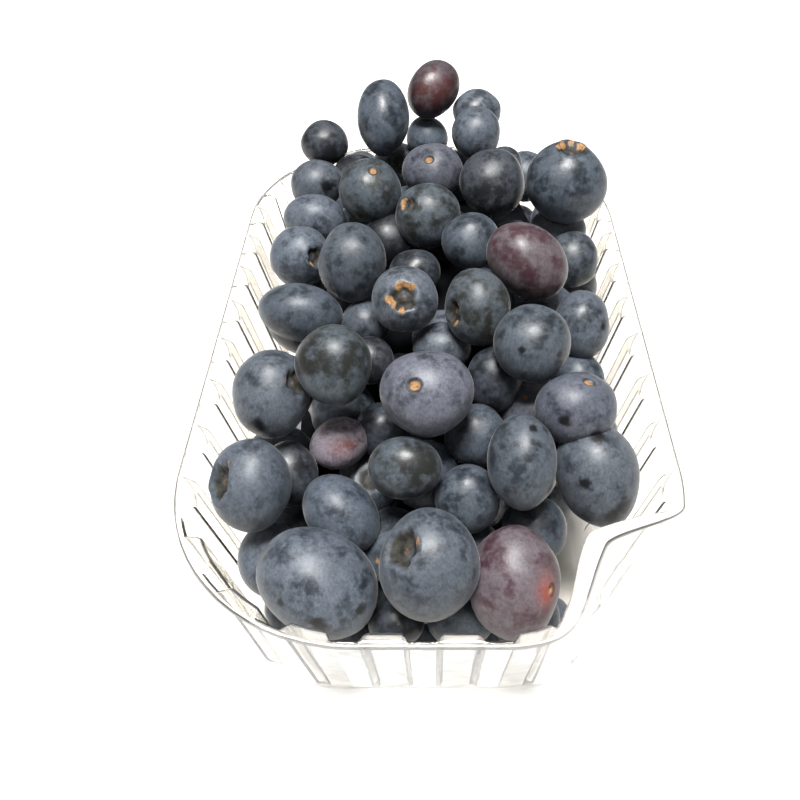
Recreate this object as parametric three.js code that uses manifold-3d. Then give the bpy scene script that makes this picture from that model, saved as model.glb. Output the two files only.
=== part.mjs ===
// A clear thermoformed punnet, dented at one corner, heaped with blueberries.
// Millimetres, +Z up. The origin is the centre of the base on the table, +Y runs along the punnet
// away from the dented end, and +X is across it.
import * as THREE from "three";
import { mergeVertices } from "three/addons/utils/BufferGeometryUtils.js";
import { ConvexGeometry } from "three/addons/geometries/ConvexGeometry.js";
import Module from "manifold-3d";

const wasm = await Module();
wasm.setup();

// The punnet, over its flange, which is wider along the sides than along the ends.
const WIDTH = 95;
const LENGTH = 150;
const HEIGHT = 50;
const MOUTH_RADIUS = 32;
const SIDE_FLANGE = 3.7;
const END_FLANGE = 2.2;
const LIP_DROP = 1.3;
const SHEET = 0.5;

// Its wall, which leans in towards the base, with squarer corners there, and is fluted. A flute is
// a pocket pushed out by a share of the flange's width.
const WALL_LEAN = 7.2;
const WALL_FOOT_Z = 9;
const CORNER_PUSH = 4;
const FLUTE_FOOT_Z = 15;
const FLUTE_COUNT = 33;
const FLUTE_PHASE = -1;
const FLUTE_SHARE = 0.68;
const FLUTE_WIDTH = 4.4;
const FLUTE_RAMP = 1.1;

// Its base: a foot ring round a raised panel. Insets are from the mouth, inwards.
const FOOT_OUTER_INSET = 12.6;
const FOOT_INNER_INSET = 19;
const PANEL_INSET = 22;
const PANEL_RISE = 1.2;
const BASE_CORNER_INSET = 9.1;
const BASE_CORNER_Z = 1.8;

// The dent at the near right corner: how far the rim is pushed, and where along the mouth it
// starts, is deepest and ends. Distances run along the mouth from the middle of the near end. The
// bent rim takes up less of the mouth than its own length, so the flutes past it stand further on.
// Those in it are pulled flat where a third of it is felt. As far as BARE_END, the inside of the
// wall shows past the heap, and so do the PEEPS: points seen through the gap below the topmost
// berry, and past the far left side.
const DENT = { x: -12.3, y: 0.8 };
const DENT_START = 14.5;
const DENT_PEAK = 46.5;
const DENT_END = 55;
const DENT_SLACK = 3.4;
const DENT_FADE = 1.2;
const DENT_FLATTEN = 3;
const BARE_END = 72;
const PEEPS = [new THREE.Vector3(4.6, 75, 57), new THREE.Vector3(-46, 75, 35)];

// The heap's laid berries, as they are seen from EYE, which looks down at EYE_TILT. A berry's depth
// is a share of its width and height. Its facets swell past its size, and a fine one has more.
const EYE = new THREE.Vector3(1, -124, 165);
const EYE_TILT = THREE.MathUtils.degToRad(-47);
const DEPTH_SHARE = 0.84;
const FACET_SWELL = 1.05;
const FINE_RADIUS = 6.85;
const CLEARANCE = 0.6;
const WALL_STEP = { along: 2, up: 4 };
const LEVEL_DIRECTIONS = Array.from({ length: 24 }, (_, i) => {
  const angle = THREE.MathUtils.degToRad(15 * i);
  return new THREE.Vector3(Math.cos(angle), Math.sin(angle), 0);
});

// The berries that fill the punnet below the laid ones. They start on layers of a loose close
// packing and settle. Those that end crowded, above the heap's slopes, or before a laid one, the
// bare wall or the PEEPS go.
const FILL_SEED = 7;
const FILL_SPACING = 16;
const FILL_RISE = 12.4;
const FILL_FIRST_Z = 8.2;
const FILL_LAYERS = 5;
const FILL_ROWS = 6;
const FILL_COLUMNS = 4;
const FILL_JITTER = 3.2;
const FILL_SMALLEST = 12.5;
const FILL_SPREAD = 5.5;
const FILL_EDGE_SHARE = 1 / 3;
const SETTLE_PASSES = 60;
const SETTLE_SHARE = 0.5;
const CROWDED = 0.72;
const OPEN_ABOVE_Z = 36;
const CEILING_DROP = 4;
const CEILING_SLOPE = 1;
const VIEW_OVERLAP = 0.8;

// The core under them: a hull of their centres, and a cone up into each laid berry.
const CORE_SCALE = 0.99;
const CORE_SINK = 2;
const CONE_RADIUS = 6;
const CONE_HEIGHT = 22;
const CONE_SIDES = 4;

// How far a surface may move when needless edges are dropped.
const PUNNET_TOLERANCE = 0.04;
const HEAP_TOLERANCE = 0.15;

// The laid berries, row by row from the far end: the place of the centre, then the width and the
// height that each shows from EYE, which looks down at EYE_TILT, and for some how many degrees it
// is rolled there, anticlockwise.
const LAID_BERRIES = [
  [[0.5, 54, 77.5, 12.5, 15.5, -40], [-11.5, 45, 75, 13, 19], [11.5, 53.5, 72, 12.5, 11.5]],
  [[11, 43, 72, 12.5, 13], [-1, 51.5, 66, 11, 11], [-26.5, 46, 67.5, 12, 11.5]],
  [[-28, 35.5, 62.5, 13.5, 12, 15], [-14, 26.5, 66.5, 15, 15.5], [0.5, 34, 67, 15, 13.5]],
  [[14.5, 29, 67, 16, 16.5], [18.5, 47, 60.5, 10.5, 10.5], [30.5, 23, 71, 19, 18.5]],
  [[-18.5, 40.5, 61, 13, 12.5], [-10, 19.5, 57.5, 13.5, 13.5], [30, 22, 58, 14, 13]],
  [[-0.5, 20, 64, 15.5, 15.5], [-27.5, 24.5, 60, 15, 12], [9, 10.5, 64, 13.5, 13]],
  [[20.5, 1, 66, 19, 15.5, -40], [32.5, 12.5, 57.5, 12, 13.5], [-29, 9, 61, 13.5, 14]],
  [[-16.5, 2, 65, 15, 17.5], [-3.5, 9, 56.5, 12, 11], [-5, -9.5, 64.5, 14, 14]],
  [[9.5, -11, 64, 13.5, 16.5], [-26.5, -10, 61.5, 18, 12.5, -8], [19.5, -22, 64.5, 15.5, 15.5]],
  [[31.5, -10, 58, 12, 15], [-14, -6, 54.5, 11, 11], [2.5, -13, 54.5, 13, 10.5]],
  [[-17.5, -29, 66, 14.5, 15.5], [-30, -30, 59, 15, 17.5], [-0.5, -33.5, 63, 18, 16.5]],
  [[-12.5, -15.5, 53, 10.5, 10.5], [13, -21.5, 54, 12, 13.5], [27.5, -32.5, 57.5, 16.5, 14.5]],
  [[31, -17, 49, 11.5, 11.5], [-18, -32, 46.5, 12.5, 10.5, 20], [-9.5, -28.5, 46, 12, 12]],
  [[-4.5, -43.5, 54, 14, 12], [9, -32, 49, 13, 13], [16.5, -44, 56.5, 13, 17.5]],
  [[32, -43.5, 47.5, 16, 21.5, 15], [-32, -46.5, 53, 15, 17.5], [-27.5, -38.5, 45, 11.5, 13.5]],
  [[-17, -45.5, 42, 17.5, 13.5, -48], [7, -45.5, 47, 12.5, 13.5], [20, -47.5, 39.5, 13.5, 13.5]],
  [[-30, -52.5, 37, 13.5, 15], [-20.5, -59, 39.2, 24.5, 19, -34], [0, -58.5, 46.5, 18.5, 20.5]],
  [[15.3, -58.7, 40, 17.3, 21.4], [-6.5, -61, 28, 11, 9.5], [6, -60, 28, 13.5, 11.5]],
];

// A draw between 0 and 1 from a seeded generator.
function seededDraws(seed) {
  let state = seed >>> 0;
  return () => {
    state = (Math.imul(state, 1664525) + 1013904223) >>> 0;
    return state / 4294967296;
  };
}

const mouth = {
  halfWidth: WIDTH / 2 - SIDE_FLANGE,
  halfLength: LENGTH / 2 - END_FLANGE,
  radius: MOUTH_RADIUS,
};
const nearStraight = 2 * (mouth.halfWidth - mouth.radius);
const sideStraight = 2 * (mouth.halfLength - mouth.radius);
const cornerArc = (Math.PI / 2) * mouth.radius;
const mouthLength = 2 * (nearStraight + sideStraight) + 4 * cornerArc;

// The place and outward direction on the mouth, a distance along it from the middle of the near end.
function onMouth(distance) {
  let left = (distance + nearStraight / 2) % mouthLength;
  const place = new THREE.Vector2(-nearStraight / 2, -mouth.halfLength);
  let heading = 0;
  for (const straight of [nearStraight, sideStraight, nearStraight, sideStraight]) {
    const along = new THREE.Vector2(Math.cos(heading), Math.sin(heading));
    const outward = new THREE.Vector2(along.y, -along.x);
    if (left <= straight) return { place: place.addScaledVector(along, left), outward };
    left -= straight;
    place.addScaledVector(along, straight);
    const centre = place.clone().addScaledVector(outward, -mouth.radius);
    const turn = Math.min(left, cornerArc) / mouth.radius;
    outward.rotateAround(new THREE.Vector2(), turn);
    place.copy(centre).addScaledVector(outward, mouth.radius);
    if (left <= cornerArc) return { place, outward };
    left -= cornerArc;
    heading += Math.PI / 2;
  }
  return { place, outward: new THREE.Vector2(0, -1) };
}

// How much of the dent is felt at a distance along the mouth and at a height.
function dentShare(distance, z) {
  const rise = THREE.MathUtils.smoothstep(distance, DENT_START, DENT_PEAK);
  const fall = 1 - THREE.MathUtils.smoothstep(distance, DENT_PEAK, DENT_END);
  return rise * fall * Math.pow(Math.max(0, z) / HEIGHT, DENT_FADE);
}

// How far a corner of the wall is pushed out at a height.
function cornerPush(outward, z) {
  return CORNER_PUSH * (1 - z / HEIGHT) * Math.pow(2 * outward.x * outward.y, 2);
}

// A point of the punnet: a station of its section, which says the inset from the mouth, the height,
// and what share of the flute and of the flange applies, in a column at a distance along the mouth.
function punnetPoint(distance, { inset, z, flute = 0, flange = 0 }, depth = 0) {
  const { place, outward } = onMouth(distance);
  const width = SIDE_FLANGE * outward.x ** 2 + END_FLANGE * outward.y ** 2;
  const share = dentShare(distance, z);
  const pocket = FLUTE_SHARE * flute * depth * Math.max(0, 1 - DENT_FLATTEN * share);
  place.addScaledVector(outward, (flange + pocket) * width + cornerPush(outward, z) - inset);
  return new THREE.Vector3(place.x + DENT.x * share, place.y + DENT.y * share, z);
}

// Where the wall's columns of points stand: the four edges of each flute, with the share of its
// depth there, and in the dent also the middle of each flute and of the wall between two.
function fluteColumns() {
  const pitch = (mouthLength - DENT_SLACK) / FLUTE_COUNT;
  const half = FLUTE_WIDTH / 2;
  const columns = [];
  for (let i = 0; i < FLUTE_COUNT; i++) {
    const slack = DENT_SLACK * THREE.MathUtils.smoothstep(i * pitch, DENT_START, DENT_END);
    const middle = FLUTE_PHASE + i * pitch + slack;
    const dented = middle > DENT_START && middle < DENT_END;
    if (dented) columns.push({ distance: middle - pitch / 2, depth: 0 });
    columns.push({ distance: middle - half - FLUTE_RAMP, depth: 0 });
    columns.push({ distance: middle - half, depth: 1 });
    if (dented) columns.push({ distance: middle, depth: 1 });
    columns.push({ distance: middle + half, depth: 1 });
    columns.push({ distance: middle + half + FLUTE_RAMP, depth: 0 });
  }
  return columns;
}

// The inset of the wall's outer face at a height.
function wallInset(z) {
  return (WALL_LEAN * (HEIGHT - z)) / (HEIGHT - WALL_FOOT_Z);
}

// The outer face in section, from the middle of the base up to the flange.
function outerSection() {
  const middleZ = (FLUTE_FOOT_Z + HEIGHT) / 2;
  return [
    { inset: mouth.halfWidth, z: PANEL_RISE },
    { inset: PANEL_INSET, z: PANEL_RISE },
    { inset: FOOT_INNER_INSET, z: 0 },
    { inset: FOOT_OUTER_INSET, z: 0 },
    { inset: BASE_CORNER_INSET, z: BASE_CORNER_Z },
    { inset: WALL_LEAN, z: WALL_FOOT_Z },
    { inset: wallInset(FLUTE_FOOT_Z), z: FLUTE_FOOT_Z, flute: 1 },
    { inset: wallInset(middleZ), z: middleZ, flute: 1 },
    { inset: 0, z: HEIGHT - SHEET, flute: 1 },
  ];
}

// The inner face in section: the outer one moved in by the thickness of the sheet.
function innerSection(outer) {
  return outer.slice(0, -1).map((station, i) => {
    const before = outer[Math.max(0, i - 1)];
    const after = outer[i + 1];
    const run = new THREE.Vector2(after.inset - before.inset, after.z - before.z).normalize();
    return {
      inset: station.inset + SHEET * run.y,
      z: station.z - SHEET * run.x,
      flute: station.flute,
    };
  });
}

// The whole section of the formed sheet, from the base's underside round the rim to its top.
function sheetSection() {
  const outer = outerSection();
  const rim = [
    { inset: SHEET, z: HEIGHT - SHEET, flange: 1 },
    { inset: SHEET / 2, z: HEIGHT - LIP_DROP, flange: 1 },
    { inset: 0, z: HEIGHT, flange: 1 },
    { inset: SHEET, z: HEIGHT, flute: 1 },
  ];
  return [...outer, ...rim, ...innerSection(outer).reverse()];
}

// A closed mesh's solid, for joining. Faces that have shrunk to a line are dropped.
function solidOf(geometry) {
  const bare = new THREE.BufferGeometry();
  bare.setAttribute("position", geometry.getAttribute("position"));
  bare.setIndex(geometry.index);
  const merged = mergeVertices(bare, 1e-4);
  const index = merged.index.array;
  const triVerts = [];
  for (let i = 0; i < index.length; i += 3) {
    const [a, b, c] = [index[i], index[i + 1], index[i + 2]];
    if (a !== b && b !== c && a !== c) triVerts.push(a, b, c);
  }
  return new wasm.Manifold(
    new wasm.Mesh({
      numProp: 3,
      vertProperties: new Float32Array(merged.attributes.position.array),
      triVerts: new Uint32Array(triVerts),
    }),
  );
}

// A solid's mesh as a geometry.
function geometryOf(solid) {
  const made = solid.getMesh();
  const geometry = new THREE.BufferGeometry();
  geometry.setAttribute("position", new THREE.BufferAttribute(made.vertProperties, 3));
  geometry.setIndex(new THREE.BufferAttribute(made.triVerts, 1));
  geometry.computeVertexNormals();
  return geometry;
}

// The punnet: a lathed section whose columns are moved from a circle to the fluted, dented outline.
function punnetGeometry() {
  const section = sheetSection();
  const columns = fluteColumns();
  const last = section.length - 1;
  const radii = section.map((s, i) => (i === 0 || i === last ? 0 : mouth.halfWidth - s.inset));
  const profile = section.map((s, i) => new THREE.Vector2(radii[i], s.z));
  const geometry = new THREE.LatheGeometry(profile, columns.length);
  const position = geometry.getAttribute("position");
  for (let i = 0; i < position.count; i++) {
    const station = section[i % section.length];
    const column = columns[Math.floor(i / section.length) % columns.length];
    const point = punnetPoint(column.distance, station, column.depth);
    if (radii[i % section.length] === 0) point.set(0, 0, station.z);
    position.setXYZ(i, point.x, point.y, point.z);
  }
  const solid = solidOf(geometry);
  return geometryOf(solid.simplify(PUNNET_TOLERANCE));
}

// How far a point is inside the wall's inner face, measured in a level direction.
function gapToWall(point, direction) {
  const z = THREE.MathUtils.clamp(point.z, 0, HEIGHT);
  const inset = SHEET + wallInset(z) - cornerPush(direction, z);
  const toCornerX = Math.abs(direction.x) * (mouth.halfWidth - mouth.radius);
  const toCornerY = Math.abs(direction.y) * (mouth.halfLength - mouth.radius);
  return toCornerX + toCornerY + mouth.radius - inset - point.dot(direction);
}

// How far a point is inside the nearest wall.
function wallGap(point) {
  return Math.min(...LEVEL_DIRECTIONS.map((direction) => gapToWall(point, direction)));
}

// Points on the inner face of the wall, from the dent's start to a distance along the mouth.
function wallPoints(end) {
  const points = [];
  for (let distance = DENT_START; distance <= end; distance += WALL_STEP.along) {
    for (let z = WALL_FOOT_Z; z <= HEIGHT; z += WALL_STEP.up) {
      points.push(punnetPoint(distance, { inset: SHEET + wallInset(z), z }));
    }
  }
  return points;
}

// A berry of three sizes: across, away from and up against the line of sight, before it is turned.
function berryAt(place, size, turn, laid) {
  return { place, size, turn, laid, radius: (size.x + size.z) / 4 };
}

// How far a berry's facets reach in a direction, with the clearance round it.
function reachOf({ size, turn }, direction) {
  const turned = direction.clone().applyQuaternion(turn.clone().invert());
  return (turned.multiply(size).length() / 2) * FACET_SWELL + CLEARANCE;
}

// Pushes a berry off the wall, the dent and the base.
function clearOfPunnet(berry, dent) {
  const { place } = berry;
  for (const direction of LEVEL_DIRECTIONS) {
    const over = reachOf(berry, direction) - gapToWall(place, direction);
    place.addScaledVector(direction, -Math.max(0, over));
  }
  for (const point of dent) {
    const apart = point.distanceTo(place);
    const from = place.clone().sub(point).normalize();
    place.addScaledVector(from, Math.max(0, reachOf(berry, from) - apart));
  }
  const lowest = PANEL_RISE + SHEET + reachOf(berry, new THREE.Vector3(0, 0, 1));
  place.z = Math.max(place.z, lowest);
}

// The berries that are laid by hand.
function laidBerries() {
  return LAID_BERRIES.flat().map(([x, y, z, width, height, roll = 0]) => {
    const size = new THREE.Vector3(width, (DEPTH_SHARE * (width + height)) / 2, height);
    const turn = new THREE.Quaternion().setFromEuler(
      new THREE.Euler(EYE_TILT, -THREE.MathUtils.degToRad(roll), 0),
    );
    return berryAt(new THREE.Vector3(x, y, z), size, turn, true);
  });
}

// Berries of random size on a loose close packing that reaches into the heap above the rim.
function fillBerries(draw) {
  const berries = [];
  const rowStep = FILL_SPACING * Math.sqrt(3 / 4);
  const unturned = new THREE.Quaternion();
  for (let layer = 0; layer < FILL_LAYERS; layer++) {
    for (let row = -FILL_ROWS; row <= FILL_ROWS; row++) {
      for (let column = -FILL_COLUMNS; column <= FILL_COLUMNS; column++) {
        const shift = ((Math.abs(row) + layer) % 2) / 2;
        const jitter = [draw(), draw(), draw()].map((value) => (value - 0.5) * FILL_JITTER);
        const across = FILL_SMALLEST + draw() * FILL_SPREAD;
        const place = new THREE.Vector3(
          (column + shift) * FILL_SPACING + jitter[0],
          (row + (layer % 2) / 3) * rowStep + jitter[1],
          FILL_FIRST_Z + layer * FILL_RISE + jitter[2],
        );
        if (wallGap(place) < across * FILL_EDGE_SHARE) continue;
        berries.push(berryAt(place, new THREE.Vector3(across, across, across), unturned, false));
      }
    }
  }
  return berries;
}

// Whether a filling berry is low in the punnet or under the slopes round the laid ones.
function isInsideHeap({ place }, laid) {
  const ceilings = laid.map((other) => {
    const aside = Math.hypot(other.place.x - place.x, other.place.y - place.y);
    return other.place.z - CEILING_DROP - CEILING_SLOPE * aside;
  });
  return place.z < Math.max(OPEN_ABOVE_Z, ...ceilings);
}

// Whether a filling berry hides some of a laid one from the eye.
function hidesLaid(berry, laid) {
  const sight = berry.place.clone().sub(EYE);
  return laid.some((other) => {
    const otherSight = other.place.clone().sub(EYE);
    const touch = berry.radius / sight.length() + other.radius / otherSight.length();
    const nearer = sight.length() < otherSight.length();
    return nearer && sight.angleTo(otherSight) < VIEW_OVERLAP * touch;
  });
}

// Whether a berry hides a point from the eye.
function hidesPoint({ place, radius }, point) {
  const sight = point.clone().sub(EYE);
  const towards = place.clone().sub(EYE);
  const nearer = towards.length() < sight.length();
  return nearer && Math.sin(sight.angleTo(towards)) < radius / towards.length();
}

// Moves the filling berries apart and off the punnet.
function settle(laid, filling, dent) {
  const all = [...laid, ...filling];
  for (let pass = 0; pass < SETTLE_PASSES; pass++) {
    for (const berry of filling) {
      const push = new THREE.Vector3();
      for (const other of all) {
        const touch = berry.radius + other.radius;
        const apart = berry.place.distanceTo(other.place);
        if (other === berry || apart >= touch) continue;
        const from = berry.place.clone().sub(other.place);
        push.addScaledVector(from, SETTLE_SHARE * (touch / apart - 1));
      }
      berry.place.add(push);
      clearOfPunnet(berry, dent);
    }
  }
}

// The laid berries and those of the filling that fit in the heap under them.
function heapBerries(draw) {
  const dent = wallPoints(DENT_END);
  const laid = laidBerries();
  for (const berry of laid) clearOfPunnet(berry, dent);
  const shown = [...PEEPS, ...wallPoints(BARE_END)].filter(
    (point) => !laid.some((berry) => hidesPoint(berry, point)),
  );
  const filling = fillBerries(draw);
  settle(laid, filling, dent);
  const kept = [...laid];
  for (const berry of filling) {
    const crowded = kept.some(
      ({ place, radius }) => berry.place.distanceTo(place) < CROWDED * (berry.radius + radius),
    );
    const hides = hidesLaid(berry, laid) || shown.some((point) => hidesPoint(berry, point));
    if (!crowded && !hides && isInsideHeap(berry, laid)) kept.push(berry);
  }
  return kept;
}

// One berry as a faceted solid: finer where it is a large one on top.
function berrySolid(berry, draw) {
  const isFine = berry.laid && berry.radius > FINE_RADIUS;
  const shape = new THREE.IcosahedronGeometry(FACET_SWELL / 2, isFine ? 1 : 0);
  shape.rotateZ(draw() * Math.PI);
  shape.rotateX(draw() * Math.PI);
  shape.scale(berry.size.x, berry.size.y, berry.size.z);
  shape.applyQuaternion(berry.turn);
  shape.translate(berry.place.x, berry.place.y, berry.place.z);
  return solidOf(shape);
}

// The core's hull: round the centres of the filling, drawn in and down.
function coreHull(berries) {
  const points = berries
    .filter((berry) => !berry.laid)
    .map(({ place }) => new THREE.Vector3(place.x * CORE_SCALE, place.y * CORE_SCALE, place.z));
  for (const point of points) point.z = Math.max(FILL_FIRST_Z, point.z - CORE_SINK);
  return solidOf(new ConvexGeometry(points));
}

// The core's cone under one laid berry, slimmer where it would reach the wall.
function coreCone({ place }) {
  const foot = place.clone().setZ(Math.max(FILL_FIRST_Z, place.z - CONE_HEIGHT));
  const height = place.z - foot.z;
  const radius = Math.min(CONE_RADIUS, wallGap(foot) - CLEARANCE);
  const cone = new THREE.ConeGeometry(radius, height, CONE_SIDES);
  cone.rotateX(Math.PI / 2);
  cone.translate(place.x, place.y, place.z - height / 2);
  return solidOf(cone);
}

// The heap: the berries fused on the core, with sealed gaps filled and loose scraps dropped.
function heapGeometry() {
  const draw = seededDraws(FILL_SEED);
  const berries = heapBerries(draw);
  let heap = coreHull(berries);
  for (const berry of berries) {
    if (berry.laid) heap = heap.add(coreCone(berry));
    heap = heap.add(berrySolid(berry, draw));
  }
  const bodies = heap.simplify(HEAP_TOLERANCE).decompose();
  bodies.sort((a, b) => b.volume() - a.volume());
  return geometryOf(bodies[0]);
}

const punnet = new THREE.Mesh(
  punnetGeometry(),
  new THREE.MeshStandardMaterial({
    color: 0xf4f6f7,
    roughness: 0.08,
    metalness: 0,
    transparent: true,
    opacity: 0.3,
  }),
);
punnet.name = "punnet";

const blueberries = new THREE.Mesh(
  heapGeometry(),
  new THREE.MeshStandardMaterial({ color: 0x4b5364, roughness: 0.55, metalness: 0 }),
);
blueberries.name = "blueberries";

const punnetOfBlueberries = new THREE.Group();
punnetOfBlueberries.add(punnet, blueberries);

export default punnetOfBlueberries;
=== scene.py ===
"""Dresses a clear punnet that is heaped with blueberries.

The sheet of the punnet is formed from the same sizes as its CAD node, with rounded flutes and a
turned-down lip. The heap is made of whole berries over a dark core that is painted shade. Those on
top are shaped one by one, with a crown or a stem scar where it shows, and those below come from
one tree of nodes.

Sizes in the tables are millimetres, and meshes are metres, in the frame of the CAD model.
"""
import logging
import math
from dataclasses import dataclass, field
from enum import Enum

import bmesh
import bpy
import numpy as np
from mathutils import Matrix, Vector


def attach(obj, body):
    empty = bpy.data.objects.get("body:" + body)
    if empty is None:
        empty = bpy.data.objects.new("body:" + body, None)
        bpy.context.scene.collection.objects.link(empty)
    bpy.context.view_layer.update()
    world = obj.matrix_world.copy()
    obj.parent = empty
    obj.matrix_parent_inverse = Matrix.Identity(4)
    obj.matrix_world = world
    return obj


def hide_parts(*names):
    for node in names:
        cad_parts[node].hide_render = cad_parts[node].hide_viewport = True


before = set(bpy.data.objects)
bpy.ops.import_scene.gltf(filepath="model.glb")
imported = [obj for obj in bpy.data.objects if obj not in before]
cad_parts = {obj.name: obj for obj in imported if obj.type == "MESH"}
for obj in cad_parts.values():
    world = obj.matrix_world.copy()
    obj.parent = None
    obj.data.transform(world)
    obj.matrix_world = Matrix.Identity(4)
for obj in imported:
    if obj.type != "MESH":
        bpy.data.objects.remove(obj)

LOG = logging.getLogger("punnet_of_blueberries")
MM = 0.001
BODY = "root"

# A point and an aim are places, in space and on a berry as the eye sees it. A pair and a triple
# are other numbers that belong together.
Point = tuple[float, float, float]
Aim = tuple[float, float]
Pair = tuple[float, float]
Triple = tuple[float, float, float]

EYE: Point = (1.0, -124.0, 165.0)
EYE_TILT = 47.0

MATH = "ShaderNodeMath"
RANGE = "ShaderNodeMapRange"
MIX = "ShaderNodeMix"
NOISE = "ShaderNodeTexNoise"
SMOOTH = {"interpolation_type": "SMOOTHSTEP"}
COLOURS = {"data_type": "RGBA"}


# ---------------------------------------------------------------------------------------------
# Small tools
# ---------------------------------------------------------------------------------------------


def linear(code: str) -> tuple[float, float, float, float]:
    """Turns an sRGB hex colour, six digits after a hash sign, to linear light with an alpha of 1."""
    shares = [int(code[i : i + 2], 16) / 255 for i in (1, 3, 5)]
    light = [s / 12.92 if s <= 0.04045 else ((s + 0.055) / 1.055) ** 2.4 for s in shares]
    return (light[0], light[1], light[2], 1.0)


def smoothstep(value: np.ndarray | float, low: float, high: float) -> np.ndarray:
    """Rises smoothly from 0 at low to 1 at high."""
    share = np.clip((np.asarray(value, dtype=float) - low) / (high - low), 0.0, 1.0)
    return share * share * (3 - 2 * share)


@dataclass(frozen=True)
class Bell:
    """A bell curve: its height, where its top is, and how far from there it is a third as high."""

    height: float
    middle: float
    width: float

    def at(self, value: np.ndarray, wider: np.ndarray | float = 0.0) -> np.ndarray:
        """Its height at a value, with that much added to its width."""
        return self.height * np.exp(-(((value - self.middle) / (self.width + wider)) ** 2))


def linked(name: str, data: bpy.types.ID) -> bpy.types.Object:
    """Makes an object of a mesh, a camera or a lamp, in the scene."""
    made = bpy.data.objects.new(name, data)
    bpy.context.scene.collection.objects.link(made)
    return made


def mesh_object(
    name: str, points: np.ndarray, faces: list[tuple[int, ...]], material: bpy.types.Material
) -> bpy.types.Object:
    """Makes a smooth mesh object at the origin.

    Args:
        name: The object's name.
        points: Places in metres, one row each.
        faces: The corners of each face, anticlockwise from outside.
        material: What it is made of.

    Returns:
        The object, linked to the scene.
    """
    mesh = bpy.data.meshes.new(name)
    mesh.from_pydata([tuple(p) for p in points.tolist()], [], faces)
    mesh.shade_smooth()
    mesh.materials.append(material)
    mesh.validate()
    return linked(name, mesh)


def store(mesh: bpy.types.Mesh, name: str, values: np.ndarray) -> None:
    """Keeps one number, vector or colour for each point of a mesh, by the width of its rows."""
    width = 1 if values.ndim == 1 else values.shape[1]
    kind = {1: "FLOAT", 3: "FLOAT_VECTOR", 4: "FLOAT_COLOR"}[width]
    slot = {1: "value", 3: "vector", 4: "color"}[width]
    layer = mesh.attributes.new(name, kind, "POINT")
    layer.data.foreach_set(slot, np.ascontiguousarray(values, dtype=np.float32).ravel())


def declare(piece: bpy.types.Object, node: str) -> None:
    """Says that a piece stands for a CAD node, and reports it.

    Args:
        piece: The finished piece.
        node: The CAD node.
    """
    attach(piece, BODY)
    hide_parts(node)
    triangles = sum(len(p.vertices) - 2 for p in piece.data.polygons)
    LOG.info("%s: %d triangles, for %s", piece.name, triangles, node)


class Nodes:
    """A node tree with one short way to add a node."""

    def __init__(self, tree: bpy.types.NodeTree) -> None:
        """Starts on an empty tree."""
        self.tree = tree
        tree.nodes.clear()

    def add(self, kind: str, inputs: dict | tuple = (), **settings: object) -> bpy.types.Node:
        """Adds a node.

        Args:
            kind: The node's type.
            inputs: What goes into it, by name or number, or in order: a value, another node's
                output, or a node, which stands for its first output in use.
            **settings: The node's own settings.

        Returns:
            The node.
        """
        node = self.tree.nodes.new(kind)
        for name, value in settings.items():
            setattr(node, name, value)
        for name, value in inputs.items() if isinstance(inputs, dict) else enumerate(inputs):
            if isinstance(value, bpy.types.Node):
                value = next(output for output in value.outputs if output.enabled)
            if isinstance(value, bpy.types.NodeSocket):
                self.tree.links.new(value, node.inputs[name])
            else:
                node.inputs[name].default_value = value
        return node


# ---------------------------------------------------------------------------------------------
# Finishes
# ---------------------------------------------------------------------------------------------


@dataclass(frozen=True)
class Tone:
    """The two colours of one berry's skin, and how much of it the bloom covers."""

    bloom: str
    rubbed: str
    cover: float


class Skin(Enum):
    """How ripe and how rubbed a berry is, apart from two copies: a darker one that is painted shade and a
    lighter one that is painted light.
    """

    BLOOMED = Tone("#464c54", "#20242a", 0.74)
    SLATE = Tone("#3c4249", "#1a1e23", 0.66)
    LAVENDER = Tone("#4a4d56", "#24272e", 0.78)
    INKY = Tone("#33373d", "#15171a", 0.52)
    # A darker copy of a skin: painted shade for a berry that lies in shade.
    PAINTED_SHADE = Tone("#1f2226", "#0d0f11", 0.4)
    OLIVE = Tone("#3b4146", "#1d1e1c", 0.52)
    MAUVE = Tone("#4f474b", "#38242a", 0.6)
    # A lighter copy of the mauve skin: painted light for a berry that lies in light.
    PAINTED_LIGHT = Tone("#77717a", "#4a3a40", 0.8)
    MAROON = Tone("#3d373c", "#2b191b", 0.44)


LIGHTNESS = (0.88, 1.12)
BLUENESS = (0.97, 1.03)
COVER_SWING = 0.07


@dataclass(frozen=True)
class Noise:
    """A noise: how many millimetres its blotches are across, its detail, how much it swirls, and
    how far from its middle value it is cut off."""

    size_mm: float
    detail: float = 2.0
    swirl: float = 0.0
    reach: float = 0.2


class Pattern(Enum):
    """What makes the skin uneven, as large as on a real berry apart from the grain.

    The bloom's own grain is too fine to show, so it is drawn coarser. The scuffs are drawn out
    along one direction.
    """

    MOTTLE = Noise(1.7, 3.0, 0.3)
    PATCHES = Noise(4.8)
    GRAIN = Noise(0.6)
    SCUFFS = Noise(0.7, swirl=1.2, reach=0.15)


@dataclass(frozen=True)
class DryOrShadedPart:
    """A dry part of the skin, or the dry crown floor with painted shade over it: what the mesh calls
    it, where it ends, its dark and light colours, and the pattern that mixes them."""

    name: str
    edge: Pair
    dark: str
    light: str
    pattern: Pattern
    mixed: Pair


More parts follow.
